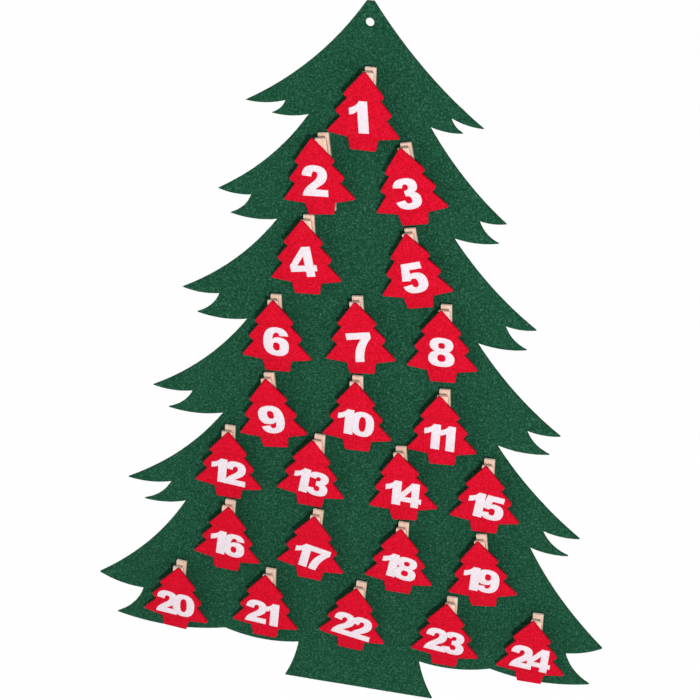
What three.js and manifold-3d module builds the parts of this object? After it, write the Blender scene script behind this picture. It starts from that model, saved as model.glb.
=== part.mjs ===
// An advent calendar: a felt fir-tree wall panel with 24 wooden pegs, each carrying a numbered red felt tree.
// Millimetres, +Z up. The panel's back lies in the plane y = 0, its front faces -Y, and the origin is
// the middle of the hanging hole.
import * as THREE from "three";
import { mergeVertices } from "three/addons/utils/BufferGeometryUtils.js";
import Module from "manifold-3d";

const wasm = await Module();
wasm.setup();

// Panel: felt sheet, one fir tier after another, each with a long bough tip and a shorter spur under it.
// A point is given as distance from the middle line and height. The cut isn't the same on both sides.
const panelFelt = 3;
const holeDiameter = 7;
const apexHeight = 17;
const apexHalfWidth = 3;
const leftTiers = [
  { tip: [98.5, -71.8], notch: [66, -69], spur: [77, -80.3], root: [47, -78.7] },
  { tip: [120.5, -148.1], notch: [93, -150.9], spur: [110, -168.2], root: [71, -169.5] },
  { tip: [150.5, -238], notch: [119, -240.2], spur: [138, -259], root: [95, -260.3] },
  { tip: [176.5, -330.8], notch: [142, -332], spur: [163, -349.9], root: [115, -349.2] },
  { tip: [199.5, -421.6], notch: [161, -420.9], spur: [185, -440.7], root: [148, -438] },
  { tip: [227, -520.2], notch: [187, -531], spur: [211, -558.5], root: [111, -559.2] },
];
const rightTiers = [
  { tip: [93.5, -76.6], notch: [67.3, -70.2], spur: [77.4, -82.1], root: [50.7, -79] },
  { tip: [116.1, -152.7], notch: [94.4, -152.4], spur: [111, -169.8], root: [74.3, -169.3] },
  { tip: [146, -240.2], notch: [120.5, -239.6], spur: [139.2, -258.4], root: [98.3, -257.2] },
  { tip: [172, -331.2], notch: [144, -329.7], spur: [164, -349.1], root: [119.7, -346.4] },
  { tip: [194.7, -422.8], notch: [163.2, -419.9], spur: [186.2, -440.5], root: [153, -437.1] },
  { tip: [221.5, -524.6], notch: [190.7, -534.6], spur: [213, -561.5], root: [127, -560.9] },
];
const leftBoughSag = 0.062; // how far a bough's upper edge hangs, as a share of its length
const rightBoughSag = 0.042;
const undersideSag = 0.06; // of a bough tip and of a spur
const spurSag = 0.11; // of a spur's upper edge
const hemSag = 0.065;
const hemDepth = 3.3; // the trunk starts this far below the last tier's roots
const trunkTopMiddle = 10;
const trunkTopWidth = 108;
const trunkFootMiddle = 11;
const trunkFootWidth = 133;
const trunkHeight = 35.5;
const trunkSag = 0.04;

// Peg: two wooden levers held together by a wire spring. Heights along a lever start at the coil's axis.
const pegLength = 66;
const pegWidth = 9;
const coilToJaw = 27;
const leverDepthAtCoil = 5;
const flare = THREE.MathUtils.degToRad(3.6); // between the outer faces of the closed peg
const bevel = THREE.MathUtils.degToRad(7); // of the outer face at the jaw, which is glued to the felt
const bevelLength = 20;
const squeeze = THREE.MathUtils.degToRad(10); // the front lever's travel
const jawGap = 0.3;
const glueFilm = 0.3;
const handleClearance = 0.4; // between each lever's handle and the middle of the fully squeezed peg
const biteFromJaw = 8;
const biteWidth = 4;
const biteDepth = 1.2;

// Spring
const wireWidth = 1.2;
const coilRadius = 3;
const coilSeat = 0.15; // the coil is pressed this deep into the rear lever
const coilClearance = 0.5; // round the coil, in the front lever's groove
const armClearance = 0.3; // beside the lever, and between the front arm and the coil
const armToCoil = 11.5; // from the coil's axis down to where an arm crosses its lever
const armInset = 3; // how far a crossing arm stops short of the lever's other side
const notchClearance = 0.1; // above and below a crossing arm
const armSeat = 0.1; // an arm is pressed this deep into its notch's floor

// Red felt tree on the front lever, measured from its own middle.
const treeFelt = 2.4;
const treeTip = 34.5;
const treeBough = [
  { tip: [16.8, 13], root: [13, 10.5] },
  { tip: [23, -2], root: [18.5, -6.5] },
  { tip: [30, -21], root: [12.3, -24] },
];
const treeFoot = [10.4, -34.5];
const treeRounding = 2.4;
const footRounding = 0.8;
const leverBelowTip = 2.2; // the lever's end lies this far below the tree's tip

// Numbers: white felt numerals, 1 to 9 larger than 10 to 24.
const numeralFelt = 0.8;
const single = { height: 28, width: 22.2, spacing: 0, spacingAfterOne: 0, middle: -4 };
const double = { height: 25.2, width: 20, spacing: 15.3, spacingAfterOne: 12.5, middle: -7.5 };
const numeralOverlap = 0.1; // sunk into the felt below, so that they are one piece

// Where each numbered tree's middle hangs, how far its peg is turned anticlockwise, and how far to the
// right of the tree's middle the peg runs. The number was glued on by hand, a little to the right, upwards
// and turned anticlockwise from its usual place.
const places = [
  { x: 0.5, z: -66.1, turn: -1, aside: 2.6, number: [-1.6, -1, 4] },
  { x: -35.8, z: -123.4, turn: 6, aside: 6.5, number: [-1.7, 0.6, -4] },
  { x: 38, z: -124, turn: 11, aside: 2, number: [-1.5, -1.8, 4] },
  { x: -43.9, z: -193, turn: 3, aside: 2.9, number: [-1.7, 0, 6] },
  { x: 45.5, z: -194.4, turn: 11, aside: 1, number: [-0.7, -1.8, 6] },
  { x: -67, z: -265, turn: 2, aside: -0.5, number: [0.9, -0.8, -4] },
  { x: 3, z: -258, turn: 5, aside: -0.6, number: [1, -4.3, 6] },
  { x: 71.9, z: -256.7, turn: 2, aside: 2.3, number: [0, -0.9, -2] },
  { x: -69.9, z: -335.7, turn: 6, aside: 0, number: [0.9, -1.7, 4] },
  { x: 3.5, z: -328.7, turn: 1, aside: -0.6, number: [-0.9, 1.7, -6] },
  { x: 74.8, z: -331.4, turn: 3, aside: 2.4, number: [0.8, 1, -6] },
  { x: -105.8, z: -389.2, turn: -2, aside: -1.6, number: [0, 0.9, -4] },
  { x: -33.4, z: -386.6, turn: -3, aside: 3.6, number: [0, -1, -8] },
  { x: 44.1, z: -387.9, turn: 5, aside: 0, number: [0.8, 1.1, -9] },
  { x: 115.1, z: -389.2, turn: 0, aside: 1, number: [0.7, 1, -9] },
  { x: -105.9, z: -459.9, turn: -4, aside: -1.6, number: [0, 2, -4] },
  { x: -31, z: -457.6, turn: -5, aside: 0.6, number: [0.1, -2, -9] },
  { x: 45.4, z: -458.5, turn: -2, aside: 0.3, number: [0, 1.9, -9] },
  { x: 115.4, z: -460, turn: 6, aside: 1.3, number: [-0.2, 1.9, -11] },
  { x: -151.4, z: -526.1, turn: -6, aside: -1, number: [-0.9, 0.9, 0] },
  { x: -71.4, z: -521.3, turn: -2, aside: 2.1, number: [0, 0, -4] },
  { x: 7.5, z: -521.3, turn: -5, aside: 2.1, number: [0, 0, -6] },
  { x: 88.5, z: -523.8, turn: -1, aside: 2.9, number: [0, 1, -6] },
  { x: 163, z: -528.2, turn: -1, aside: 2.5, number: [-0.1, 1, -4] },
];

// Numeral outlines in a cell 0.8 wide and 1 high, as M, L and Q steps. The first run is the outer edge,
// and each later one is a hole, which runs the other way round.
const glyphs = {
  0: [
    "M.4 0Q0 0 0 .5Q0 1 .4 1Q.8 1 .8 .5Q.8 0 .4 0",
    "M.4 .81Q.28 .81 .28 .5Q.28 .19 .4 .19Q.52 .19 .52 .5Q.52 .81 .4 .81",
  ],
  1: [
    "M.3 0L.6 0L.6 1L.36 1Q.29 .84 .06 .78L.06 .57Q.2 .6 .3 .68",
  ],
  2: [
    "M.02 0L.78 0L.78 .22L.41 .22Q.46 .28 .58 .36Q.77 .5 .77 .69Q.77 1 .4 1Q.05 1 .03 .66L.31 .63" +
      "Q.32 .8 .41 .8Q.49 .8 .49 .69Q.49 .58 .33 .45Q.04 .22 .02 0",
  ],
  3: [
    "M.02 .27Q.07 0 .4 0Q.78 0 .78 .3Q.78 .46 .63 .53Q.75 .6 .75 .74Q.75 1 .4 1Q.08 1 .04 .74" +
      "L.31 .7Q.32 .81 .4 .81Q.48 .81 .48 .72Q.48 .61 .34 .61L.34 .43Q.5 .45 .5 .31Q.5 .19 .4 .19" +
      "Q.31 .19 .29 .31",
  ],
  4: [
    "M.45 0L.71 0L.71 .18L.8 .18L.8 .38L.71 .38L.71 1L.45 1L0 .4L0 .18L.45 .18",
    "M.45 .38L.22 .38L.45 .69",
  ],
  5: [
    "M.03 .26Q.07 0 .39 0Q.79 0 .79 .34Q.79 .67 .46 .67Q.38 .67 .34 .64L.36 .78L.73 .78L.73 1" +
      "L.16 1L.05 .45L.29 .42Q.33 .49 .4 .49Q.5 .49 .5 .34Q.5 .19 .4 .19Q.31 .19 .3 .3",
  ],
  6: [
    "M.76 .74Q.71 1 .41 1Q0 1 0 .48Q0 0 .41 0Q.79 0 .79 .34Q.79 .66 .48 .66Q.35 .66 .28 .58" +
      "Q.29 .82 .41 .82Q.48 .82 .49 .71",
    "M.41 .18Q.3 .18 .3 .33Q.3 .47 .4 .47Q.51 .47 .51 .33Q.51 .18 .41 .18",
  ],
  7: [
    "M.04 1L.04 .78L.47 .78Q.18 .45 .16 0L.43 0Q.47 .48 .78 .8L.78 1",
  ],
  8: [
    "M.2 .53Q.05 .6 .05 .75Q.05 1 .4 1Q.75 1 .75 .75Q.75 .6 .61 .53Q.79 .46 .79 .27Q.79 0 .4 0" +
      "Q.01 0 .01 .27Q.01 .46 .2 .53",
    "M.4 .83Q.3 .83 .3 .73Q.3 .62 .4 .62Q.5 .62 .5 .73Q.5 .83 .4 .83",
    "M.4 .43Q.28 .43 .28 .3Q.28 .17 .4 .17Q.52 .17 .52 .3Q.52 .43 .4 .43",
  ],
  9: [
    "M.03 .26Q.08 0 .38 0Q.79 0 .79 .52Q.79 1 .38 1Q0 1 0 .66Q0 .34 .31 .34Q.44 .34 .51 .42" +
      "Q.5 .18 .38 .18Q.31 .18 .3 .29",
    "M.38 .82Q.49 .82 .49 .67Q.49 .53 .39 .53Q.28 .53 .28 .67Q.28 .82 .38 .82",
  ],
};
const glyphWidth = 0.8;

// How many straight steps each curved edge is drawn in.
const fineness = {
  bough: 5,
  underside: 3,
  spur: 4,
  trunk: 3,
  hole: 16,
  groove: 5,
  coil: 12,
  rounding: 3,
  numeral: 2,
};
const weldDistance = 1e-4; // corners closer than this are one corner

const greenFelt = new THREE.MeshStandardMaterial({ color: 0x1e583e, roughness: 0.95, metalness: 0 });
const redFelt = new THREE.MeshStandardMaterial({ color: 0xd81030, roughness: 0.95, metalness: 0 });
const paleWood = new THREE.MeshStandardMaterial({ color: 0xe6cdb0, roughness: 0.7, metalness: 0 });

// Solids

function solidOf(geometry) {
  const bare = new THREE.BufferGeometry();
  bare.setAttribute("position", geometry.getAttribute("position"));
  bare.setIndex(geometry.index);
  const merged = mergeVertices(bare, weldDistance);
  return new wasm.Manifold(
    new wasm.Mesh({
      numProp: 3,
      vertProperties: merged.attributes.position.array,
      triVerts: new Uint32Array(merged.index.array),
    }),
  );
}

function geometryOf(solid) {
  const mesh = solid.getMesh();
  const geometry = new THREE.BufferGeometry();
  geometry.setAttribute("position", new THREE.BufferAttribute(mesh.vertProperties, 3));
  geometry.setIndex(new THREE.BufferAttribute(mesh.triVerts, 1));
  geometry.computeVertexNormals();
  return geometry;
}

function joined(geometries) {
  return geometryOf(geometries.map(solidOf).reduce((whole, next) => whole.add(next)));
}

// A flat outline in x and z, thickened from the plane y = back towards the viewer.
const facingFront = new THREE.Matrix4().makeBasis(
  new THREE.Vector3(1, 0, 0),
  new THREE.Vector3(0, 0, 1),
  new THREE.Vector3(0, -1, 0),
);
function sheet(shape, thickness, back, curveSegments) {
  const geometry = new THREE.ExtrudeGeometry(shape, { depth: thickness, bevelEnabled: false, curveSegments });
  return geometry.applyMatrix4(facingFront).translate(0, back, 0);
}

// A side profile, given as depth from the peg's middle plane and height, thickened along x from left.
const facingSide = new THREE.Matrix4().makeBasis(
  new THREE.Vector3(0, 1, 0),
  new THREE.Vector3(0, 0, 1),
  new THREE.Vector3(1, 0, 0),
);
function slab(points, width, left) {
  const shape = new THREE.Shape(points.map(([depth, height]) => new THREE.Vector2(depth, height)));
  const geometry = new THREE.ExtrudeGeometry(shape, { depth: width, bevelEnabled: false });
  return geometry.applyMatrix4(facingSide).translate(left, 0, 0);
}

// Green panel

// An edge from one corner to the next, which hangs below the straight line between them.
function hangingEdge(from, to, sag, steps) {
  const middle = from.clone().add(to).multiplyScalar(0.5);
  const along = to.clone().sub(from);
  const downward = new THREE.Vector2(along.y * Math.sign(along.x), -Math.abs(along.x));
  const control = middle.addScaledVector(downward, 2 * sag);
  return new THREE.QuadraticBezierCurve(from, control, to).getPoints(steps).slice(1);
}

function panelSide(side, tiers, boughSag) {
  const at = ([distance, height], middle = 0) => new THREE.Vector2(side * distance + middle, height);
  const points = [at([apexHalfWidth, apexHeight])];
  const hangTo = (corner, sag, steps) => points.push(...hangingEdge(points.at(-1), corner, sag, steps));
  const lowestTier = tiers.at(-1);
  for (const tier of tiers) {
    hangTo(at(tier.tip), boughSag, fineness.bough);
    hangTo(at(tier.notch), undersideSag, fineness.underside);
    hangTo(at(tier.spur), spurSag, fineness.underside);
    hangTo(at(tier.root), tier === lowestTier ? hemSag : undersideSag, fineness.spur);
  }
  const hemHeight = lowestTier.root[1] - hemDepth;
  hangTo(at([trunkTopWidth / 2, hemHeight], trunkTopMiddle), hemSag, fineness.trunk);
  hangTo(at([trunkFootWidth / 2, hemHeight - trunkHeight], trunkFootMiddle), trunkSag, fineness.trunk);
  return points;
}

function treePanel() {
  const right = panelSide(1, rightTiers, rightBoughSag);
  const left = panelSide(-1, leftTiers, leftBoughSag);
  const shape = new THREE.Shape([...right, ...left.reverse()]);
  const hole = new THREE.Path();
  hole.absarc(0, 0, holeDiameter / 2, 0, 2 * Math.PI);
  shape.holes.push(hole);
  return sheet(shape, panelFelt, 0, fineness.hole);
}

// Peg, seen in the frame of its middle plane: depth grows towards the wall, height starts at the coil

const handleLength = pegLength - coilToJaw;
const halfFlare = flare / 2;
const outerDepth = (height) => leverDepthAtCoil + height * Math.tan(halfFlare);
const bevelDepth = (height) =>
  outerDepth(height) - Math.max(0, bevelLength - coilToJaw - height) * Math.tan(bevel);
const handleDepth = (height) => handleClearance + height * Math.tan(squeeze / 2);

function leverProfile(grooveRadius) {
  const inner = jawGap / 2;
  const biteFoot = biteFromJaw - coilToJaw;
  const notchTop = -armToCoil + wireWidth / 2 + notchClearance;
  const notchFoot = -armToCoil - wireWidth / 2 - notchClearance;
  const notchDepth = wireWidth - armSeat;
  const start = -Math.acos(inner / grooveRadius);
  const end = Math.acos(handleClearance / grooveRadius) - squeeze / 2;
  const groove = Array.from({ length: fineness.groove + 1 }, (_, step) => {
    const angle = start + ((end - start) * step) / fineness.groove;
    return [grooveRadius * Math.cos(angle), grooveRadius * Math.sin(angle)];
  });
  return [
    [inner, -coilToJaw],
    [inner, biteFoot],
    [inner + biteDepth, biteFoot + biteWidth / 4],
    [inner + biteDepth, biteFoot + (3 * biteWidth) / 4],
    [inner, biteFoot + biteWidth],
    ...groove,
    [handleDepth(handleLength), handleLength],
    [outerDepth(handleLength), handleLength],
    [outerDepth(bevelLength - coilToJaw), bevelLength - coilToJaw],
    [bevelDepth(notchTop), notchTop],
    [bevelDepth(notchTop) - notchDepth, notchTop],
    [bevelDepth(notchFoot) - notchDepth, notchFoot],
    [bevelDepth(notchFoot), notchFoot],
    [bevelDepth(-coilToJaw), -coilToJaw],
  ].reverse();
}

// A spring arm runs down beside its lever from the coil and turns across the lever's outer face.
function springArm(startHeight) {
  const crossDepth = bevelDepth(-armToCoil) - wireWidth;
  const rod = [
    [wireWidth, startHeight],
    [0, startHeight],
    [crossDepth, -armToCoil - wireWidth / 2],
    [crossDepth + wireWidth, -armToCoil - wireWidth / 2],
    [crossDepth + wireWidth, -armToCoil + wireWidth / 2],
  ];
  const cross = [
    [crossDepth, -armToCoil - wireWidth / 2],
    [crossDepth + wireWidth, -armToCoil - wireWidth / 2],
    [crossDepth + wireWidth, -armToCoil + wireWidth / 2],
    [crossDepth, -armToCoil + wireWidth / 2],
  ];
  const rodNear = pegWidth / 2 + armClearance;
  const crossLength = pegWidth - armInset + armClearance + wireWidth;
  return [slab(rod, wireWidth, rodNear), slab(cross, crossLength, rodNear + wireWidth - crossLength)];
}

function rearLever() {
  const coilLength = pegWidth + 2 * (armClearance + wireWidth);
  const coil = new THREE.CylinderGeometry(coilRadius, coilRadius, coilLength, fineness.coil);
  coil.rotateZ(Math.PI / 2);
  const lever = slab(leverProfile(coilRadius - coilSeat), pegWidth, -pegWidth / 2);
  return joined([lever, coil, ...springArm(0)]);
}

function frontLever() {
  const lever = slab(leverProfile(coilRadius + coilClearance), pegWidth, -pegWidth / 2);
  const arm = springArm(-coilRadius - armClearance);
  // The front lever is the rear one seen in the middle plane's mirror, turned so that its arm is on the left.
  return [lever, ...arm].map((geometry) => geometry.rotateZ(Math.PI));
}

// Red tree and its number, flat on the front lever's outer face

function roundedShape(corners) {
  const shape = new THREE.Shape();
  corners.forEach((corner, index) => {
    const before = corners.at(index - 1).at;
    const after = corners[(index + 1) % corners.length].at;
    const towards = (next) => next.clone().sub(corner.at).setLength(corner.rounding).add(corner.at);
    const enter = towards(before);
    const leave = towards(after);
    if (index === 0) shape.moveTo(enter.x, enter.y);
    else shape.lineTo(enter.x, enter.y);
    if (corner.rounding) shape.quadraticCurveTo(corner.at.x, corner.at.y, leave.x, leave.y);
  });
  return shape;
}

function treeShape() {
  const corner = (side, [half, height], rounding) => {
    return { at: new THREE.Vector2(side * half, height), rounding };
  };
  const half = (side) => [
    ...treeBough.flatMap(({ tip, root }) => [corner(side, tip, treeRounding), corner(side, root, 0)]),
    corner(side, treeFoot, footRounding),
  ];
  return roundedShape([corner(1, [0, treeTip], treeRounding), ...half(1), ...half(-1).reverse()]);
}

function glyphShape(digit, { width, height }, left) {
  const [outline, ...holes] = glyphs[digit].map((run) => {
    const path = new THREE.Shape();
    for (const [, step, numbers] of run.matchAll(/([MLQ])([^MLQ]+)/g)) {
      const values = numbers.split(" ").map(Number);
      const spots = values.map((value, index) =>
        index % 2 ? (value - 0.5) * height : left + (value * width) / glyphWidth,
      );
      if (step === "L") path.lineTo(...spots);
      else if (step === "Q") path.quadraticCurveTo(...spots);
      else path.moveTo(...spots);
    }
    return path;
  });
  outline.holes = holes;
  return outline;
}

function numberSheets(number, [right, up, turn], back) {
  const digits = [...String(number)];
  const style = digits.length > 1 ? double : single;
  const spacing = digits[0] === "1" ? style.spacingAfterOne : style.spacing;
  const span = (digits.length - 1) * spacing + style.width;
  return digits.map((digit, index) => {
    const shape = glyphShape(digit, style, index * spacing - span / 2);
    return sheet(shape, numeralFelt + numeralOverlap, back, fineness.numeral)
      .rotateY(-THREE.MathUtils.degToRad(turn))
      .translate(right, 0, style.middle + up);
  });
}

function numberedTag(number, aside, glued) {
  const treeMiddle = handleLength + leverBelowTip - treeTip;
  const face = -leverDepthAtCoil * Math.cos(halfFlare);
  const flat = [
    sheet(treeShape(), treeFelt + numeralOverlap, face + numeralOverlap, fineness.rounding),
    ...numberSheets(number, glued, face - treeFelt + numeralOverlap),
  ];
  flat.forEach((geometry) => geometry.translate(-aside, 0, treeMiddle).rotateX(halfFlare));
  return joined([...frontLever(), ...flat]);
}

// Assembly

const calendar = new THREE.Group();

const panel = new THREE.Mesh(treePanel(), greenFelt);
panel.name = "tree_panel";
calendar.add(panel);

// The rear lever's bevel lies on the felt, so the whole peg leans out at its top.
const lean = Math.atan(Math.tan(halfFlare) + Math.tan(bevel));
const coilOut = glueFilm + bevelDepth(-coilToJaw) * Math.cos(lean) + coilToJaw * Math.sin(lean);
const treeMiddleAboveCoil = (handleLength + leverBelowTip - treeTip) * Math.cos(lean + halfFlare);

const rearLeverShape = rearLever();
places.forEach(({ x, z, turn, aside, number: glued }, index) => {
  const number = String(index + 1).padStart(2, "0");
  const spot = new THREE.Group();
  spot.position.set(x, -panelFelt, z);
  spot.rotation.y = -THREE.MathUtils.degToRad(turn);
  const peg = new THREE.Group();
  peg.position.set(aside, -coilOut, -treeMiddleAboveCoil);
  peg.rotation.x = lean;
  const rear = new THREE.Mesh(rearLeverShape, paleWood);
  rear.name = "peg_rear_" + number;
  const front = new THREE.Mesh(numberedTag(index + 1, aside, glued), redFelt);
  front.name = "tag_" + number;
  peg.add(rear, front);
  spot.add(peg);
  calendar.add(spot);
});

export default calendar;
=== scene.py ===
import math

import bmesh
import bpy
from mathutils import Matrix, Vector, noise


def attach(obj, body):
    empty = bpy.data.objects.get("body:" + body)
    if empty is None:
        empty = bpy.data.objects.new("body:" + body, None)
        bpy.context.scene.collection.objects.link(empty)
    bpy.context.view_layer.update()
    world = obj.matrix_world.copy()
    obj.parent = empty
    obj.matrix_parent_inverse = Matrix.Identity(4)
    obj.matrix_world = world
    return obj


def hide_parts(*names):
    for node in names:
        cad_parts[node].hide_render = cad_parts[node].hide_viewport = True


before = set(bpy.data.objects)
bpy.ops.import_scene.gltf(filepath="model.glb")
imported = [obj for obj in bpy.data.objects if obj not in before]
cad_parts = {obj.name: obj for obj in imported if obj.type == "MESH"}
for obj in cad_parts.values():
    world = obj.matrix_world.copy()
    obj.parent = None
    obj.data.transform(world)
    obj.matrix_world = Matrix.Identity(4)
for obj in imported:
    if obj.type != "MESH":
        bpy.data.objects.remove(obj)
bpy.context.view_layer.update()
scene = bpy.context.scene

# Lengths below are millimetres until a mesh is made.
mm = 0.001

# Camera


def looking(eye, aim):
    """Placement of a camera or a lamp at one spot that faces another, in metres."""
    eye = Vector(eye)
    direction = Vector(aim) - eye
    return Matrix.Translation(eye) @ direction.to_track_quat("-Z", "Y").to_matrix().to_4x4()


camera = bpy.data.objects.new("camera", bpy.data.cameras.new("camera"))
camera.data.lens = 108.9
camera.data.clip_end = 20
scene.collection.objects.link(camera)
scene.camera = camera
camera_roll = Matrix.Rotation(math.radians(2), 4, "Z")
camera.matrix_world = looking((0.333, -1.5675, 0.420), (-0.0073, 0, -0.2783)) @ camera_roll

# Sizes of the panel

panel_felt = 3
panel_edge_rounding = 0.45
hole_width = 7
# Each fir tier has a long bough tip, a notch, a short spur and a root, as distance from the middle
# and height. The cut isn't the same on both sides.
left_tiers = [
    ((98.5, -71.8), (66, -69), (77, -80.3), (47, -78.7)),
    ((120.5, -148.1), (93, -150.9), (110, -168.2), (71, -169.5)),
    ((150.5, -238), (119, -240.2), (138, -259), (95, -260.3)),
    ((176.5, -330.8), (142, -332), (163, -349.9), (115, -349.2)),
    ((199.5, -421.6), (161, -420.9), (185, -440.7), (148, -438)),
    ((227, -520.2), (187, -531), (211, -558.5), (111, -559.2)),
]
right_tiers = [
    ((93.5, -76.6), (67.3, -70.2), (77.4, -82.1), (50.7, -79)),
    ((116.1, -152.7), (94.4, -152.4), (111, -169.8), (74.3, -169.3)),
    ((146, -240.2), (120.5, -239.6), (139.2, -258.4), (98.3, -257.2)),
    ((172, -331.2), (144, -329.7), (164, -349.1), (119.7, -346.4)),
    ((194.7, -422.8), (163.2, -419.9), (186.2, -440.5), (153, -437.1)),
    ((221.5, -524.6), (190.7, -534.6), (213, -561.5), (127, -560.9)),
]
apex = (3, 17)
# How far an edge hangs below the straight line between its corners, as a share of its length.
left_bough_sag = 0.062
right_bough_sag = 0.042
underside_sag = 0.06
spur_sag = 0.11
hem_sag = 0.065
trunk_sag = 0.04
hem_depth = 3.3
trunk_top_width = 108
trunk_foot_width = 133
trunk_height = 35.5
trunk_top_middle = 10
trunk_foot_middle = 11

# Sizes of a peg, with heights counted from its spring's coil

peg_length = 66
peg_width = 9
coil_to_jaw = 27
handle_length = peg_length - coil_to_jaw
lever_depth = 5
half_flare = math.radians(1.8)
jaw_bevel = math.radians(7)
bevel_length = 20
half_squeeze = math.radians(5)
lever_edge_rounding = 0.3
jaw_gap = 0.3
handle_clearance = 0.4
bite_middle = -17.5
bite_width = 4
bite_depth = 1.2
glue_film = 0.3
glue_edge_rounding = 0.08
wire = 1.2
coil_radius = 3
coil_turns = 9
coil_seat = 0.15
coil_clearance = 0.5
arm_clearance = 0.3
arm_to_coil = 11.5
arm_beside = peg_width / 2 + arm_clearance + wire / 2
notch_clearance = 0.1
arm_seat = 0.1
lean = math.atan(math.tan(half_flare) + math.tan(jaw_bevel))

# Sizes of a red tree and its number

tree_felt = 2.4
tree_tip = 34.5
tree_boughs = [((16.8, 13), (13, 10.5)), ((23, -2), (18.5, -6.5)), ((30, -21), (12.3, -24))]
tree_foot = (10.4, -34.5)
tree_rounding = 2.4
tree_root_rounding = 0.5
tree_foot_rounding = 1
tree_edge_rounding = 0.5
lever_below_tip = 2.2
tree_middle = handle_length + lever_below_tip - tree_tip
numeral_felt = 0.8
numeral_edge_rounding = 0.22
second_numeral_lift = 0.04
numeral_cell_width = 0.8
single = {"height": 28, "width": 22.2, "spacing": 0, "spacing_after_one": 0, "middle": -4}
double = {"height": 25.2, "width": 20, "spacing": 15.3, "spacing_after_one": 12.5, "middle": -7.5}

# Each red tree's middle on the panel, its turn to the left in degrees, and how far to the right its peg
# runs. Then how far to the right and upwards its number is glued, and the number's own turn.
places = [
    (0.5, -66.1, -1, 2.6, (-1.6, -1, 4)),
    (-35.8, -123.4, 6, 6.5, (-1.7, 0.6, -4)),
    (38, -124, 11, 2, (-1.5, -1.8, 4)),
    (-43.9, -193, 3, 2.9, (-1.7, 0, 6)),
    (45.5, -194.4, 11, 1, (-0.7, -1.8, 6)),
    (-67, -265, 2, -0.5, (0.9, -0.8, -4)),
    (3, -258, 5, -0.6, (1, -4.3, 6)),
    (71.9, -256.7, 2, 2.3, (0, -0.9, -2)),
    (-69.9, -335.7, 6, 0, (0.9, -1.7, 4)),
    (3.5, -328.7, 1, -0.6, (-0.9, 1.7, -6)),
    (74.8, -331.4, 3, 2.4, (0.8, 1, -6)),
    (-105.8, -389.2, -2, -1.6, (0, 0.9, -4)),
    (-33.4, -386.6, -3, 3.6, (0, -1, -8)),
    (44.1, -387.9, 5, 0, (0.8, 1.1, -9)),
    (115.1, -389.2, 0, 1, (0.7, 1, -9)),
    (-105.9, -459.9, -4, -1.6, (0, 2, -4)),
    (-31, -457.6, -5, 0.6, (0.1, -2, -9)),
    (45.4, -458.5, -2, 0.3, (0, 1.9, -9)),
    (115.4, -460, 6, 1.3, (-0.2, 1.9, -11)),
    (-151.4, -526.1, -6, -1, (-0.9, 0.9, 0)),
    (-71.4, -521.3, -2, 2.1, (0, 0, -4)),
    (7.5, -521.3, -5, 2.1, (0, 0, -6)),
    (88.5, -523.8, -1, 2.9, (0, 1, -6)),
    (163, -528.2, -1, 2.5, (-0.1, 1, -4)),
]

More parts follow.
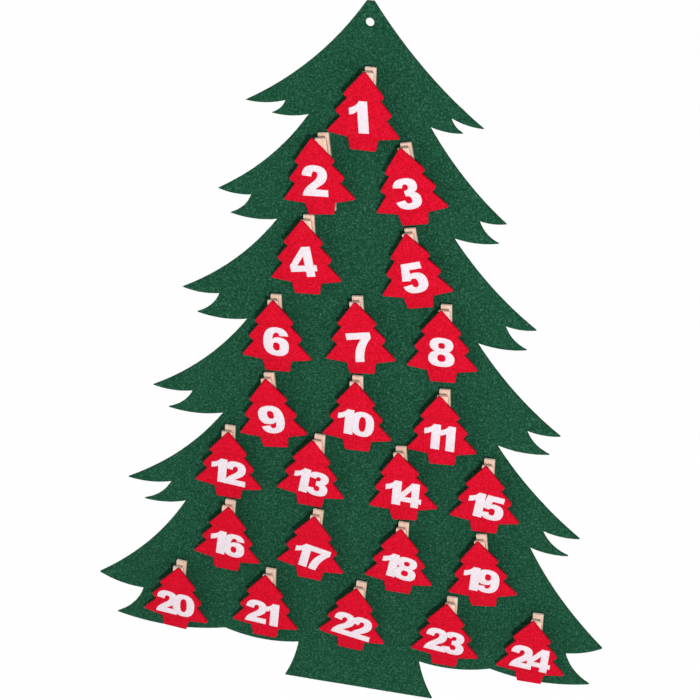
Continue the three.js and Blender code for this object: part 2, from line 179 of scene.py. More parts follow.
# Numeral outlines in a cell 0.8 wide and 1 high. The first run is the outer edge, each later one a hole.
numerals = {
    "0": [
        "M.4 0Q0 0 0 .5Q0 1 .4 1Q.8 1 .8 .5Q.8 0 .4 0",
        "M.4 .81Q.28 .81 .28 .5Q.28 .19 .4 .19Q.52 .19 .52 .5Q.52 .81 .4 .81",
    ],
    "1": [
        "M.3 0L.6 0L.6 1L.36 1Q.29 .84 .06 .78L.06 .57Q.2 .6 .3 .68",
    ],
    "2": [
        "M.02 0L.78 0L.78 .22L.41 .22Q.46 .28 .58 .36Q.77 .5 .77 .69Q.77 1 .4 1Q.05 1 .03 .66L.31 .63"
        "Q.32 .8 .41 .8Q.49 .8 .49 .69Q.49 .58 .33 .45Q.04 .22 .02 0",
    ],
    "3": [
        "M.02 .27Q.07 0 .4 0Q.78 0 .78 .3Q.78 .46 .63 .53Q.75 .6 .75 .74Q.75 1 .4 1Q.08 1 .04 .74"
        "L.31 .7Q.32 .81 .4 .81Q.48 .81 .48 .72Q.48 .61 .34 .61L.34 .43Q.5 .45 .5 .31Q.5 .19 .4 .19"
        "Q.31 .19 .29 .31",
    ],
    "4": [
        "M.45 0L.71 0L.71 .18L.8 .18L.8 .38L.71 .38L.71 1L.45 1L0 .4L0 .18L.45 .18",
        "M.45 .38L.22 .38L.45 .69",
    ],
    "5": [
        "M.03 .26Q.07 0 .39 0Q.79 0 .79 .34Q.79 .67 .46 .67Q.38 .67 .34 .64L.36 .78L.73 .78L.73 1"
        "L.16 1L.05 .45L.29 .42Q.33 .49 .4 .49Q.5 .49 .5 .34Q.5 .19 .4 .19Q.31 .19 .3 .3",
    ],
    "6": [
        "M.76 .74Q.71 1 .41 1Q0 1 0 .48Q0 0 .41 0Q.79 0 .79 .34Q.79 .66 .48 .66Q.35 .66 .28 .58"
        "Q.29 .82 .41 .82Q.48 .82 .49 .71",
        "M.41 .18Q.3 .18 .3 .33Q.3 .47 .4 .47Q.51 .47 .51 .33Q.51 .18 .41 .18",
    ],
    "7": [
        "M.04 1L.04 .78L.47 .78Q.18 .45 .16 0L.43 0Q.47 .48 .78 .8L.78 1",
    ],
    "8": [
        "M.2 .53Q.05 .6 .05 .75Q.05 1 .4 1Q.75 1 .75 .75Q.75 .6 .61 .53Q.79 .46 .79 .27Q.79 0 .4 0"
        "Q.01 0 .01 .27Q.01 .46 .2 .53",
        "M.4 .83Q.3 .83 .3 .73Q.3 .62 .4 .62Q.5 .62 .5 .73Q.5 .83 .4 .83",
        "M.4 .43Q.28 .43 .28 .3Q.28 .17 .4 .17Q.52 .17 .52 .3Q.52 .43 .4 .43",
    ],
    "9": [
        "M.03 .26Q.08 0 .38 0Q.79 0 .79 .52Q.79 1 .38 1Q0 1 0 .66Q0 .34 .31 .34Q.44 .34 .51 .42"
        "Q.5 .18 .38 .18Q.31 .18 .3 .29",
        "M.38 .82Q.49 .82 .49 .67Q.49 .53 .39 .53Q.28 .53 .28 .67Q.28 .82 .38 .82",
    ],
}


# Materials


def new_material(name):
    material = bpy.data.materials.new(name)
    material.use_nodes = True
    tree = material.node_tree
    tree.nodes.clear()
    shader = tree.nodes.new("ShaderNodeBsdfPrincipled")
    output = tree.nodes.new("ShaderNodeOutputMaterial")
    tree.links.new(shader.outputs["BSDF"], output.inputs["Surface"])
    return material, tree, shader


def add_node(tree, kind, settings=None, inputs=None):
    node = tree.nodes.new(kind)
    for key, value in (settings or {}).items():
        setattr(node, key, value)
    for key, value in (inputs or {}).items():
        if isinstance(value, bpy.types.NodeSocket):
            tree.links.new(value, node.inputs[key])
        else:
            node.inputs[key].default_value = value
    return node


def own_place(tree):
    return add_node(tree, "ShaderNodeAttribute", {"attribute_name": "own_place"}).outputs["Vector"]


def mapped(tree, vector, scale, turn=0.0):
    inputs = {"Vector": vector, "Scale": scale, "Rotation": (0, turn, 0)}
    return add_node(tree, "ShaderNodeMapping", inputs=inputs).outputs["Vector"]


def noise_value(tree, vector, scale, detail, distortion=0.0):
    inputs = {"Vector": vector, "Scale": scale, "Detail": detail, "Distortion": distortion}
    return add_node(tree, "ShaderNodeTexNoise", inputs=inputs).outputs["Fac"]


def ramp(tree, value, stops):
    node = add_node(tree, "ShaderNodeValToRGB", inputs={"Fac": value})
    elements = node.color_ramp.elements
    while len(elements) < len(stops):
        elements.new(0.5)
    for element, (position, color) in zip(elements, stops):
        element.position = position
        element.color = (*color, 1)
    return node.outputs["Color"]


def math_value(tree, operation, first, second):
    return add_node(tree, "ShaderNodeMath", {"operation": operation}, {0: first, 1: second}).outputs[0]


def bumped(tree, shader, height, strength, distance):
    """Lets a value stand out of a shader's surface, by a distance in millimetres."""
    bump = add_node(
        tree, "ShaderNodeBump", inputs={"Height": height, "Strength": strength, "Distance": distance * mm}
    )
    tree.links.new(bump.outputs["Normal"], shader.inputs["Normal"])


def weighted(tree, first, first_share, second, second_share):
    return math_value(
        tree,
        "ADD",
        math_value(tree, "MULTIPLY", first, first_share),
        math_value(tree, "MULTIPLY", second, second_share),
    )


def felt(name, dark, middle, pale, fibre_length, speck_share):
    """Pressed wool: crimped fibres lying every way, in a mottled tone."""
    material, tree, shader = new_material(name)
    place = own_place(tree)
    crimp = add_node(tree, "ShaderNodeTexNoise", inputs={"Vector": place, "Scale": 170.0, "Detail": 1.0})
    crimped = {"Factor": 0.0025, 4: place, 5: crimp.outputs["Color"]}
    place = add_node(tree, "ShaderNodeMix", {"data_type": "VECTOR"}, crimped).outputs[1]
    along = 1 / (fibre_length * mm)
    strands = None
    layers = ((0.2, 1.0), (0.8, 0.3), (1.7, 1.0), (2.4, 0.3), (2.9, 0.5))
    for turn, fibre_width in layers:
        across = 1 / (fibre_width * mm)
        turned = mapped(tree, place, (1, 1, 1), turn)
        layer = noise_value(tree, mapped(tree, turned, (along, across, across)), 1.0, 2.0)
        strands = layer if strands is None else math_value(tree, "MAXIMUM", strands, layer)
    specks = noise_value(tree, place, 620.0, 3.0)
    tone = weighted(tree, strands, 1 - speck_share, specks, speck_share)
    color = ramp(tree, tone, [(0.5, dark), (0.58, middle), (0.67, pale)])
    tree.links.new(color, shader.inputs["Base Color"])
    bumped(tree, shader, strands, strength=0.5, distance=0.4)
    shader.inputs["Roughness"].default_value = 0.95
    shader.inputs["Specular IOR Level"].default_value = 0.1
    return material


def beech(name, dark, middle, pale, stretch):
    """Pale peg wood, with fine streaks along a lever and small dark pores."""
    material, tree, shader = new_material(name)
    place = own_place(tree)
    pore_color = (0.55, 0.42, 0.3)
    streaks = noise_value(tree, mapped(tree, place, (1100, 1100, 1100 / stretch)), 1.0, 3.0, 0.4)
    bands = noise_value(tree, mapped(tree, place, (210, 210, 210 / stretch)), 1.0, 2.0, 0.8)
    pores = noise_value(tree, mapped(tree, place, (3200, 3200, 3200 / stretch)), 1.0, 1.0)
    tone = weighted(tree, streaks, 0.5, bands, 0.5)
    color = ramp(tree, tone, [(0.34, dark), (0.5, middle), (0.66, pale)])
    specks = ramp(tree, pores, [(0.3, pore_color), (0.36, (1, 1, 1))])
    darkening = {"data_type": "RGBA", "blend_type": "MULTIPLY"}
    mixed = add_node(tree, "ShaderNodeMix", darkening, {"Factor": 0.35, 6: color, 7: specks})
    tree.links.new(mixed.outputs[2], shader.inputs["Base Color"])
    bumped(tree, shader, streaks, strength=0.35, distance=0.15)
    shader.inputs["Roughness"].default_value = 0.62
    return material


def spring_wire(name):
    """Steel wire, shiny and dull by turns."""
    material, tree, shader = new_material(name)
    place = own_place(tree)
    dull = noise_value(tree, mapped(tree, place, (500, 500, 500)), 1.0, 3.0)
    color = ramp(tree, dull, [(0.3, (0.36, 0.35, 0.33)), (0.7, (0.62, 0.61, 0.59))])
    tree.links.new(color, shader.inputs["Base Color"])
    rough = ramp(tree, dull, [(0.3, (0.3, 0.3, 0.3)), (0.7, (0.5, 0.5, 0.5))])
    tree.links.new(rough, shader.inputs["Roughness"])
    shader.inputs["Metallic"].default_value = 1.0
    return material


def dried_glue(name):
    """Clouded glue with small bubbles."""
    material, tree, shader = new_material(name)
    place = own_place(tree)
    bubbles = noise_value(tree, mapped(tree, place, (1500, 1500, 1500)), 1.0, 2.0)
    color = ramp(tree, bubbles, [(0.3, (0.50, 0.51, 0.52)), (0.7, (0.72, 0.72, 0.73))])
    tree.links.new(color, shader.inputs["Base Color"])
    bumped(tree, shader, bubbles, strength=0.4, distance=0.1)
    shader.inputs["Roughness"].default_value = 0.4
    return material


green_felt = felt(
    "green_felt",
    dark=(0.006, 0.050, 0.024),
    middle=(0.012, 0.088, 0.044),
    pale=(0.045, 0.155, 0.100),
    fibre_length=6,
    speck_share=0.45,
)
red_felt = felt(
    "red_felt",
    dark=(0.54, 0.001, 0.012),
    middle=(0.72, 0.003, 0.023),
    pale=(0.80, 0.010, 0.040),
    fibre_length=4,
    speck_share=0.3,
)
white_felt = felt(
    "white_felt",
    dark=(0.80, 0.69, 0.75),
    middle=(0.90, 0.80, 0.85),
    pale=(0.94, 0.86, 0.90),
    fibre_length=3,
    speck_share=0.3,
)
beech_side = beech(
    "beech_side", dark=(0.76, 0.49, 0.36), middle=(0.88, 0.62, 0.48), pale=(0.93, 0.73, 0.60), stretch=22
)
# The lever end faces get a lighter copy of the beech. Its end-grain pattern is the wood's own, but the
# lighter tone is a painted highlight standing in for the lit top end.
beech_end = beech(
    "beech_end", dark=(0.82, 0.58, 0.46), middle=(0.91, 0.70, 0.59), pale=(0.95, 0.80, 0.71), stretch=1
)
steel_wire = spring_wire("steel_wire")
glue = dried_glue("dried_glue")


# Making a piece

same_point = 0.0005
felt_crease = math.radians(35)
lever_crease = math.radians(40)
bevelled_edge = math.radians(35)


def bend(start, control, end, steps):
    """Points of a quadratic bend, without its first one."""
    points = []
    for step in range(1, steps + 1):
        t = step / steps
        points.append(start * (1 - t) ** 2 + control * (2 * t * (1 - t)) + end * t**2)
    return points


def placed_mesh(name, mesh, placement, materials, seed):
    """Keeps each point's place on the piece itself for the materials, and then places the mesh.

    The seed shifts that place, so that no two pieces have the same fibres or grain.
    """
    shift = Vector((seed * 0.37 % 1, seed * 0.61 % 1, seed * 0.83 % 1))
    kept = mesh.attributes.new("own_place", "FLOAT_VECTOR", "POINT")
    kept.data.foreach_set("vector", [value for vertex in mesh.vertices for value in vertex.co * mm + shift])
    mesh.transform(Matrix.Scale(mm, 4) @ placement)
    mesh.materials.clear()
    for material in materials:
        mesh.materials.append(material)
    mesh.name = name
    piece = bpy.data.objects.new(name, mesh)
    scene.collection.objects.link(piece)
    return piece


def plain_mesh(source):
    """The evaluated shape of a curve or of an object with modifiers, as a mesh of its own."""
    scene.collection.objects.link(source)
    bpy.context.view_layer.update()
    evaluated = source.evaluated_get(bpy.context.evaluated_depsgraph_get())
    mesh = bpy.data.meshes.new_from_object(evaluated)
    bpy.data.objects.remove(source)
    return mesh


def cleaned(mesh, crease):
    """Merges double points, and shades smooth where the surface turns less than the crease."""
    shape = bmesh.new()
    shape.from_mesh(mesh)
    bmesh.ops.remove_doubles(shape, verts=shape.verts, dist=same_point)
    bmesh.ops.dissolve_degenerate(shape, edges=shape.edges, dist=same_point)
    bmesh.ops.recalc_face_normals(shape, faces=shape.faces)
    shape.to_mesh(mesh)
    shape.free()
    mesh.shade_smooth()
    mesh.set_sharp_from_angle(angle=crease)
    return mesh


def felt_cutout(name, loops, thickness, rim):
    """Felt cut to closed loops of x and z, its back on y = 0, with its cut edges worn round."""
    curve = bpy.data.curves.new(name, "CURVE")
    curve.dimensions = "2D"
    curve.fill_mode = "BOTH"
    curve.extrude = thickness / 2 - rim
    curve.bevel_depth = rim
    curve.bevel_resolution = 1
    curve.offset = -rim
    for loop in loops:
        spline = curve.splines.new("POLY")
        spline.points.add(len(loop) - 1)
        for point, (x, z) in zip(spline.points, loop):
            point.co = (x, z, 0, 1)
        spline.use_cyclic_u = True
    mesh = plain_mesh(bpy.data.objects.new(name, curve))
    mesh.transform(Matrix.Translation((0, -thickness / 2, 0)) @ Matrix.Rotation(math.pi / 2, 4, "X"))
    return cleaned(mesh, felt_crease)


def slab(profile, width, rim):
    """A lever's side profile of depth and height, given its width along x and its edges eased."""
    shape = bmesh.new()
    near = [shape.verts.new((-width / 2, depth, height)) for depth, height in profile]
    face = shape.faces.new(near)
    moved = bmesh.ops.extrude_face_region(shape, geom=[face])
    far = [element for element in moved["geom"] if isinstance(element, bmesh.types.BMVert)]
    bmesh.ops.translate(shape, verts=far, vec=(width, 0, 0))
    bmesh.ops.recalc_face_normals(shape, faces=shape.faces)
    sharp = [edge for edge in shape.edges if edge.calc_face_angle(0) > bevelled_edge]
    bmesh.ops.bevel(
        shape, geom=sharp, offset=rim, segments=2, profile=0.6, affect="EDGES", clamp_overlap=True
    )
    mesh = bpy.data.meshes.new("slab")
    shape.to_mesh(mesh)
    shape.free()
    return cleaned(mesh, lever_crease)


def on_body(piece, body, node):
    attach(piece, body)
    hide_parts(node)


# Wire and fibres, wound and strewn by node trees


def named_input(tree, name, kind, value=None):
    """Adds an input to a node tree, and gives the key that a modifier knows it by."""
    socket = tree.interface.new_socket(name, in_out="INPUT", socket_type=kind)
    if value is not None:
        socket.default_value = value
    return socket.identifier


def wire_tree():
    """Lays round wire along a path of edges."""
    tree = bpy.data.node_groups.new("laid_wire", "GeometryNodeTree")
    tree.interface.new_socket("Geometry", in_out="INPUT", socket_type="NodeSocketGeometry")
    names = {
        "radius": named_input(tree, "Wire Radius", "NodeSocketFloat", 0.6),
        "material": named_input(tree, "Material", "NodeSocketMaterial"),
    }
    tree.interface.new_socket("Geometry", in_out="OUTPUT", socket_type="NodeSocketGeometry")
    given = tree.nodes.new("NodeGroupInput")
    result = tree.nodes.new("NodeGroupOutput")
    path = add_node(tree, "GeometryNodeMeshToCurve", inputs={"Mesh": given.outputs["Geometry"]})
    circle = add_node(
        tree,
        "GeometryNodeCurvePrimitiveCircle",
        inputs={"Resolution": 8, "Radius": given.outputs["Wire Radius"]},
    )
    rod = add_node(
        tree,
        "GeometryNodeCurveToMesh",
        inputs={
            "Curve": path.outputs["Curve"],
            "Profile Curve": circle.outputs["Curve"],
            "Fill Caps": True,
        },
    )
    whole = add_node(tree, "GeometryNodeRealizeInstances", inputs={"Geometry": rod.outputs["Mesh"]})
    finished = add_node(
        tree,
        "GeometryNodeSetMaterial",
        inputs={"Geometry": whole.outputs["Geometry"], "Material": given.outputs["Material"]},
    )
    tree.links.new(finished.outputs["Geometry"], result.inputs["Geometry"])
    return tree, names


def fibre_tree():
    """Strews short bowed fibres over a felt piece, each lying nearly flat."""
    tree = bpy.data.node_groups.new("strewn_fibres", "GeometryNodeTree")
    tree.interface.new_socket("Geometry", in_out="INPUT", socket_type="NodeSocketGeometry")
    names = {
        "density": named_input(tree, "Fibres Per Square Metre", "NodeSocketFloat", 30000.0),
        "length": named_input(tree, "Fibre Length", "NodeSocketFloat", 0.005),
        "width": named_input(tree, "Fibre Width", "NodeSocketFloat", 0.00015),
        "seed": named_input(tree, "Seed", "NodeSocketInt", 1),
        "material": named_input(tree, "Material", "NodeSocketMaterial"),
    }
    tree.interface.new_socket("Geometry", in_out="OUTPUT", socket_type="NodeSocketGeometry")
    given = tree.nodes.new("NodeGroupInput")
    result = tree.nodes.new("NodeGroupOutput")
    spots = add_node(
        tree,
        "GeometryNodeDistributePointsOnFaces",
        inputs={
            "Mesh": given.outputs["Geometry"],
            "Density": given.outputs["Fibres Per Square Metre"],
            "Seed": given.outputs["Seed"],
        },
    )
    bow = add_node(
        tree,
        "GeometryNodeCurveQuadraticBezier",
        inputs={
            "Resolution": 4,
            "Start": (-0.5, 0, -0.02),
            "Middle": (0.1, 0.35, 0.06),
            "End": (0.5, 0, -0.02),
        },
    )
    flat = add_node(
        tree,
        "GeometryNodeCurvePrimitiveLine",
        inputs={"Start": (0, -0.5, 0), "End": (0, 0.5, 0)},
    )
    share = add_node(
        tree,
        "ShaderNodeMath",
        {"operation": "DIVIDE"},
        {0: given.outputs["Fibre Width"], 1: given.outputs["Fibre Length"]},
    )
    size = add_node(
        tree,
        "GeometryNodeTransform",
        inputs={"Geometry": flat.outputs["Curve"]},
    )
    narrow = add_node(tree, "ShaderNodeCombineXYZ", inputs={"X": 1.0, "Y": share.outputs[0], "Z": 1.0})
    tree.links.new(narrow.outputs[0], size.inputs["Scale"])
    ribbon = add_node(
        tree,
        "GeometryNodeCurveToMesh",
        inputs={"Curve": bow.outputs["Curve"], "Profile Curve": size.outputs["Geometry"]},
    )
    tilt = 0.05
    spin = add_node(
        tree,
        "FunctionNodeRandomValue",
        {"data_type": "FLOAT_VECTOR"},
        {0: (-tilt, -tilt, 0.0), 1: (tilt, tilt, math.tau), "Seed": given.outputs["Seed"]},
    )
    turned = add_node(
        tree,
        "FunctionNodeRotateRotation",
        {"rotation_space": "LOCAL"},
        {0: spots.outputs["Rotation"]},
    )
    tree.links.new(spin.outputs[0], turned.inputs[1])
    shortest, longest = 0.5, 1.3
    grow = add_node(
        tree,
        "FunctionNodeRandomValue",
        {"data_type": "FLOAT"},
        {2: shortest, 3: longest, "Seed": given.outputs["Seed"]},
    )
    scale = math_value(tree, "MULTIPLY", grow.outputs[1], given.outputs["Fibre Length"])
    strewn = add_node(
        tree,
        "GeometryNodeInstanceOnPoints",
        inputs={
            "Points": spots.outputs["Points"],
            "Instance": ribbon.outputs["Mesh"],
            "Rotation": turned.outputs[0],
            "Scale": scale,
        },
    )
    whole = add_node(tree, "GeometryNodeRealizeInstances", inputs={"Geometry": strewn.outputs["Instances"]})
    finished = add_node(
        tree,
        "GeometryNodeSetMaterial",
        inputs={"Geometry": whole.outputs["Geometry"], "Material": given.outputs["Material"]},
    )
    tree.links.new(finished.outputs["Geometry"], result.inputs["Geometry"])
    return tree, names


laid_wire, wire_inputs = wire_tree()
strewn_fibres, fibre_inputs = fibre_tree()


def grown(name, mesh, tree, names, values):
    """The mesh that a node tree makes from another one."""
    source = bpy.data.objects.new(name, mesh)
    modifier = source.modifiers.new("grown", "NODES")
    modifier.node_group = tree
    for key, value in values.items():
        modifier[names[key]] = value
    return plain_mesh(source)


def wire_piece(name, path, placement, seed):
    guide = bpy.data.meshes.new(name)
    guide.from_pydata(path, [(i, i + 1) for i in range(len(path) - 1)], [])
    mesh = grown(name, guide, laid_wire, wire_inputs, {"radius": wire / 2, "material": steel_wire})
    mesh.shade_smooth()
    return placed_mesh(name, mesh, placement, [steel_wire], seed)


def fibre_piece(name, felt_piece, material, density, length, width, seed):
    """Fibres on a placed felt piece: how many a square metre, and their length and width in millimetres."""
    values = {
        "density": density,
        "length": length * mm,
        "width": width * mm,
        "seed": seed,
        "material": material,
    }
    mesh = grown(name, felt_piece.data.copy(), strewn_fibres, fibre_inputs, values)
    kept = mesh.attributes.get("own_place")
    if kept is None:
        kept = mesh.attributes.new("own_place", "FLOAT_VECTOR", "POINT")
    kept.data.foreach_set("vector", [value for vertex in mesh.vertices for value in vertex.co])
    mesh.name = name
    piece = bpy.data.objects.new(name, mesh)
    scene.collection.objects.link(piece)
    return piece


# Green panel


def hanging_edge(start, end, sag):
    """An edge from one corner to the next, which hangs below the straight line between them."""
    along = end - start
    downward = Vector((along.y * math.copysign(1, along.x), -abs(along.x)))
    steps = 12
    return bend(start, (start + end) / 2 + downward * 2 * sag, end, steps)


def panel_side(side, tiers, bough_sag):
    def corner(place, middle=0):
        return Vector((side * place[0] + middle, place[1]))

    lowest_root = tiers[-1][3]
    points = [corner(apex)]
    for tip, notch, spur, root in tiers:
        points += hanging_edge(points[-1], corner(tip), bough_sag)
        points += hanging_edge(points[-1], corner(notch), underside_sag)
        points += hanging_edge(points[-1], corner(spur), spur_sag)
        root_sag = hem_sag if root == lowest_root else underside_sag
        points += hanging_edge(points[-1], corner(root), root_sag)
    hem = lowest_root[1] - hem_depth
    trunk_top = corner((trunk_top_width / 2, hem), trunk_top_middle)
    trunk_foot = corner((trunk_foot_width / 2, hem - trunk_height), trunk_foot_middle)
    points += hanging_edge(points[-1], trunk_top, hem_sag)
    points += hanging_edge(points[-1], trunk_foot, trunk_sag)
    return points


def ring(radius, steps):
    angles = [math.tau * i / steps for i in range(steps)]
    return [Vector((radius * math.cos(angle), radius * math.sin(angle))) for angle in angles]


def hanging_wave(vertex):
    """Free edges stand off the wall by a millimetre or two; the felt is flat wherever a peg is glued."""
    held_radius = 42
    loosening = 70
    wave_length = 80
    from_peg = min(math.hypot(vertex.x - x, vertex.z - z) for x, z, *_ in places)
    loose = min(max((from_peg - held_radius) / loosening, 0), 1)
    spot = Vector((vertex.x / wave_length, vertex.z / wave_length, 3.1))
    return -loose * (1.6 + 2.2 * noise.noise(spot))


def make_panel():
    right = panel_side(1, right_tiers, right_bough_sag)
    left = panel_side(-1, left_tiers, left_bough_sag)
    outline = right + left[::-1]
    hole = ring(hole_width / 2, 40)
    mesh = felt_cutout("felt_panel", [outline, hole], panel_felt, panel_edge_rounding)
    shape = bmesh.new()
    shape.from_mesh(mesh)
    # Cuts 20 mm apart give the flat felt points that can move off the wall.
    for axis, cuts in ((0, range(-220, 221, 20)), (2, range(-590, 20, 20))):
        for cut in cuts:
            across = Vector((0, 0, 0))
            across[axis] = 1
            everything = shape.verts[:] + shape.edges[:] + shape.faces[:]
            bmesh.ops.bisect_plane(
                shape, geom=everything, plane_co=across * cut, plane_no=across, dist=0.001
            )
    for vertex in shape.verts:
        vertex.co.y += hanging_wave(vertex.co)
    shape.to_mesh(mesh)
    shape.free()
    panel = placed_mesh("felt_panel", mesh, Matrix(), [green_felt], 1)
    on_body(panel, "panel", "tree_panel")
    fuzz = fibre_piece("panel_fibres", panel, green_felt, density=22000, length=4, width=0.14, seed=90)
    on_body(fuzz, "panel", "tree_panel")


make_panel()

# Levers and springs, made once for each peg with its own grain


def outer_depth(height):
    return lever_depth + height * math.tan(half_flare)


def bevel_depth(height):
    return outer_depth(height) - max(0, bevel_length - coil_to_jaw - height) * math.tan(jaw_bevel)


def lever_profile(groove_radius):
    """Depth and height round a lever, from its jaw up the inner face and down the outer one."""
    inner = jaw_gap / 2
    notch_top = -arm_to_coil + wire / 2 + notch_clearance
    notch_foot = -arm_to_coil - wire / 2 - notch_clearance
    notch = wire - arm_seat
    start = -math.acos(inner / groove_radius)
    end = math.acos(handle_clearance / groove_radius) - half_squeeze
    groove_steps = 9
    groove = [start + (end - start) * i / groove_steps for i in range(groove_steps + 1)]
    return [
        (inner, -coil_to_jaw),
        (inner, bite_middle - bite_width / 2),
        (inner + bite_depth * 0.75, bite_middle - bite_width * 0.275),
        (inner + bite_depth, bite_middle),
        (inner + bite_depth * 0.75, bite_middle + bite_width * 0.275),
        (inner, bite_middle + bite_width / 2),
        *((groove_radius * math.cos(a), groove_radius * math.sin(a)) for a in groove),
        (handle_clearance + handle_length * math.tan(half_squeeze), handle_length),
        (outer_depth(handle_length), handle_length),
        (outer_depth(bevel_length - coil_to_jaw), bevel_length - coil_to_jaw),
        (bevel_depth(notch_top), notch_top),
        (bevel_depth(notch_top) - notch, notch_top),
        (bevel_depth(notch_foot) - notch, notch_foot),
        (bevel_depth(notch_foot), notch_foot),
        (bevel_depth(-coil_to_jaw), -coil_to_jaw),
    ]


def lever(name, groove_radius, placement, seed):
    mesh = slab(lever_profile(groove_radius), peg_width, lever_edge_rounding)
    # Faces that point up or down get the lighter end material, which is a painted highlight on the lever
    # ends over an end-grain pattern.
    lit_end_faces = [abs(face.normal.z) > 0.8 for face in mesh.polygons]
    piece = placed_mesh(name, mesh, placement, [beech_side, beech_end], seed)
    for face, end in zip(piece.data.polygons, lit_end_faces):
        face.material_index = int(end)
    return piece


def coil_path():
    """Turns from one side of the peg to the other, and then an arm."""
    wound = coil_radius - wire / 2
    path = []
    steps = coil_turns * 14
    for i in range(steps + 1):
        share = i / steps
        angle = math.tau * coil_turns * share
        across = -arm_beside + 2 * arm_beside * share
        path.append((across, wound * math.cos(angle), wound * math.sin(angle)))
    return path + arm_path(wound)


def arm_path(start_depth):
    """Down beside the lever, round a small bend and across the lever's outer face."""
    crossing = bevel_depth(-arm_to_coil) - wire / 2
    down = [
        (arm_beside, start_depth + (crossing - start_depth) * t, -arm_to_coil * t) for t in (0.3, 0.6, 0.9)
    ]
    corner = [
        (arm_beside - 0.15, crossing, -arm_to_coil + 0.15),
        (arm_beside - 0.6, crossing, -arm_to_coil),
    ]
    return down + corner + [(x, crossing, -arm_to_coil) for x in (3, 0, -2)]


def glue_pad(name, placement, seed):
    """A film of glue behind the rear lever's jaw, squeezed out a little round it."""
    half_width = 4.6
    half_height = 9.6
    squareness = 0.35
    steps = 28
    loop = []
    for i in range(steps):
        angle = math.tau * i / steps
        right, up = math.cos(angle), math.sin(angle)
        bulge = 1 + 0.05 * noise.noise(Vector((right * 2, up * 2, seed)))
        x = math.copysign(abs(right) ** squareness, right) * half_width * bulge
        z = math.copysign(abs(up) ** squareness, up) * half_height * bulge
        loop.append((x, z))
    mesh = felt_cutout(name, [loop], glue_film, glue_edge_rounding)
    return placed_mesh(name, mesh, placement, [glue], seed)


# Red trees and numbers


def rounded(corners):
    """Straight edges between corners of (point, rounding)."""
    points = []
    for i, (corner, rounding) in enumerate(corners):
        if not rounding:
            points.append(corner)
            continue
        before = corners[i - 1][0] - corner
        after = corners[(i + 1) % len(corners)][0] - corner
        enter = corner + before.normalized() * rounding
        leave = corner + after.normalized() * rounding
        points.append(enter)
        points += bend(enter, corner, leave, 6)
    return points


def tree_outline():
    def half(side):
        corners = []
        for (tip_x, tip_z), (root_x, root_z) in tree_boughs:
            corners.append((Vector((side * tip_x, tip_z)), tree_rounding))
            corners.append((Vector((side * root_x, root_z)), tree_root_rounding))
        corners.append((Vector((side * tree_foot[0], tree_foot[1])), tree_foot_rounding))
        return corners

    return rounded([(Vector((0, tree_tip)), tree_rounding)] + half(1) + half(-1)[::-1])


def numeral_loops(character, style, left):
    """A numeral's closed edges, read from its outline of M, L and Q steps."""
    loops = []
    for run in numerals[character]:
        points = []
        for step in run.lstrip("M").replace("Q", "|Q").replace("L", "|L").split("|"):
            values = [float(value) for value in step.lstrip("QL").split()]
            spots = [
                Vector((left + x * style["width"] / numeral_cell_width, (z - 0.5) * style["height"]))
                for x, z in zip(values[::2], values[1::2])
            ]
            points += bend(points[-1], *spots, 6) if step.startswith("Q") else spots
        if (points[0] - points[-1]).length < 0.01:
            points.pop()
        loops.append(points)
    return loops


def number_mesh(digits, style):
    spacing = style["spacing_after_one"] if digits[0] == "1" else style["spacing"]
    span = (len(digits) - 1) * spacing + style["width"]
    whole = bmesh.new()
    for place, digit in enumerate(digits):
        loops = numeral_loops(digit, style, place * spacing - span / 2)
        thickness = numeral_felt + second_numeral_lift * place
        mesh = felt_cutout("numeral", loops, thickness, numeral_edge_rounding)
        whole.from_mesh(mesh)
    mesh = bpy.data.meshes.new("number")
    whole.to_mesh(mesh)
    whole.free()
    mesh.shade_smooth()
    mesh.set_sharp_from_angle(angle=felt_crease)
    return mesh


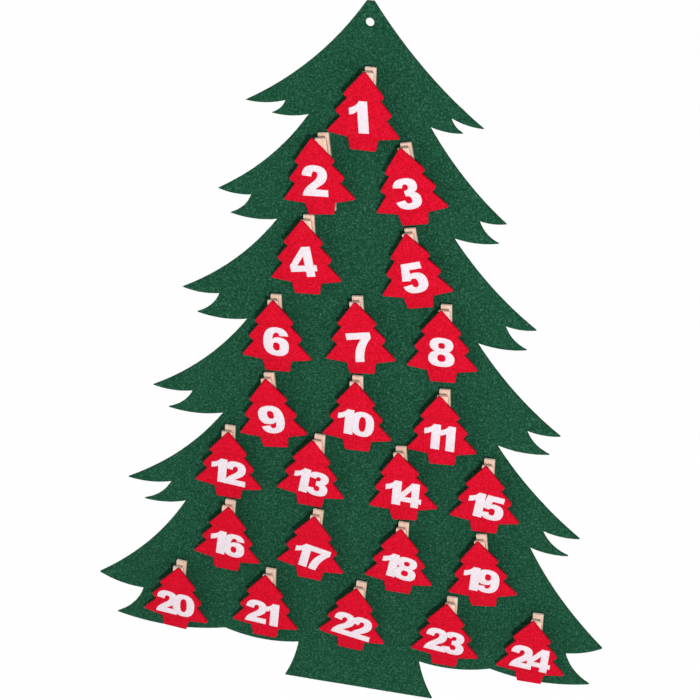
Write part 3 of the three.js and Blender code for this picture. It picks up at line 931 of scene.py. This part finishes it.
def make_clip(number, x, z, turn, aside, glued):
    mark = f"{number:02d}"
    body = "clip_" + mark
    front_node = "tag_" + mark
    rear_node = "peg_rear_" + mark
    spot = Matrix.Translation((x, -panel_felt, z)) @ Matrix.Rotation(-math.radians(turn), 4, "Y")
    coil_out = glue_film + bevel_depth(-coil_to_jaw) * math.cos(lean) + coil_to_jaw * math.sin(lean)
    coil_down = tree_middle * math.cos(lean + half_flare)
    peg = spot @ Matrix.Translation((aside, -coil_out, -coil_down)) @ Matrix.Rotation(lean, 4, "X")
    mirrored = peg @ Matrix.Rotation(math.pi, 4, "Z")
    tree_back = Matrix.Translation((-aside, -lever_depth * math.cos(half_flare), tree_middle))
    face = peg @ Matrix.Rotation(half_flare, 4, "X") @ tree_back

    rear = lever("rear_lever_" + mark, coil_radius - coil_seat, peg, number)
    on_body(rear, "panel", rear_node)
    coil = wire_piece("spring_coil_" + mark, coil_path(), peg, number)
    on_body(coil, "panel", rear_node)
    behind_jaw = spot @ Matrix.Translation((aside, 0, -tree_middle - 17))
    film = glue_pad("glue_" + mark, behind_jaw, number)
    on_body(film, "panel", rear_node)

    front_seed = number + 40
    front = lever("front_lever_" + mark, coil_radius + coil_clearance, mirrored, front_seed)
    on_body(front, body, front_node)
    # The front arm starts just below the coil, which belongs to the rear lever's body.
    path = [(arm_beside, 1.9, -4.2)] + arm_path(wire)[1:]
    arm = wire_piece("spring_arm_" + mark, path, mirrored, front_seed)
    on_body(arm, body, front_node)
    tree_mesh = felt_cutout("tree", [tree_outline()], tree_felt, tree_edge_rounding)
    tree = placed_mesh("red_tree_" + mark, tree_mesh, face, [red_felt], number)
    on_body(tree, body, front_node)
    style = double if number > 9 else single
    right, up, tilt = glued
    middle = face @ Matrix.Translation((right, -tree_felt, style["middle"] + up))
    upright = middle @ Matrix.Rotation(-math.radians(tilt), 4, "Y")
    digits_mesh = number_mesh(str(number), style)
    digits = placed_mesh("number_" + mark, digits_mesh, upright, [white_felt], number)
    on_body(digits, body, front_node)
    fuzz = fibre_piece(
        "tree_fibres_" + mark, tree, red_felt, density=45000, length=3, width=0.12, seed=number
    )
    on_body(fuzz, body, front_node)


for number, place in enumerate(places, 1):
    make_clip(number, *place)

# Floor and lights

floor_mesh = bpy.data.meshes.new("floor")
floor_z = -0.75
floor_corners = [(-6, -4, floor_z), (6, -4, floor_z), (6, 9, floor_z), (-6, 9, floor_z)]
floor_mesh.from_pydata(floor_corners, [], [(0, 1, 2, 3)])
floor = bpy.data.objects.new("floor", floor_mesh)
scene.collection.objects.link(floor)


def directly_seen(tree):
    """1 for what the camera or a reflection sees, 0 for what only lights the object."""
    path = add_node(tree, "ShaderNodeLightPath")
    return math_value(tree, "MAXIMUM", path.outputs["Is Camera Ray"], path.outputs["Is Glossy Ray"])


floor_material, tree, shader = new_material("pale_floor")
shader.inputs["Base Color"].default_value = (0.8, 0.8, 0.8, 1)
shader.inputs["Roughness"].default_value = 0.9
share = math_value(tree, "MULTIPLY", directly_seen(tree), 0.99)
white = add_node(tree, "ShaderNodeEmission", inputs={"Color": (1, 1, 1, 1), "Strength": 1.0})
mix = add_node(tree, "ShaderNodeMixShader", inputs={0: share, 1: shader.outputs[0], 2: white.outputs[0]})
output = next(node for node in tree.nodes if node.type == "OUTPUT_MATERIAL")
tree.links.new(mix.outputs[0], output.inputs["Surface"])
floor_mesh.materials.append(floor_material)

world = bpy.data.worlds.new("studio")
scene.world = world
world.use_nodes = True
tree = world.node_tree
tree.nodes.clear()
sky_level = 0.3
level = math_value(
    tree, "ADD", sky_level, math_value(tree, "MULTIPLY", directly_seen(tree), 1 - sky_level)
)
backdrop = add_node(tree, "ShaderNodeBackground", inputs={"Color": (1, 1, 1, 1), "Strength": level})
add_node(tree, "ShaderNodeOutputWorld", inputs={"Surface": backdrop.outputs[0]})


def soft_lamp(name, place, aim, size, power):
    data = bpy.data.lights.new(name, "AREA")
    data.shape = "SQUARE"
    data.size = size
    data.energy = power
    lamp = bpy.data.objects.new(name, data)
    lamp.matrix_world = looking(place, aim)
    scene.collection.objects.link(lamp)


panel_middle = (0, 0, -0.3)
soft_lamp("key_lamp", (0.66, -1.9, 0.2), panel_middle, size=0.16, power=27)
soft_lamp("fill_lamp", (-1.7, -1.6, 0.3), panel_middle, size=1.6, power=6)

scene.view_settings.view_transform = "Standard"
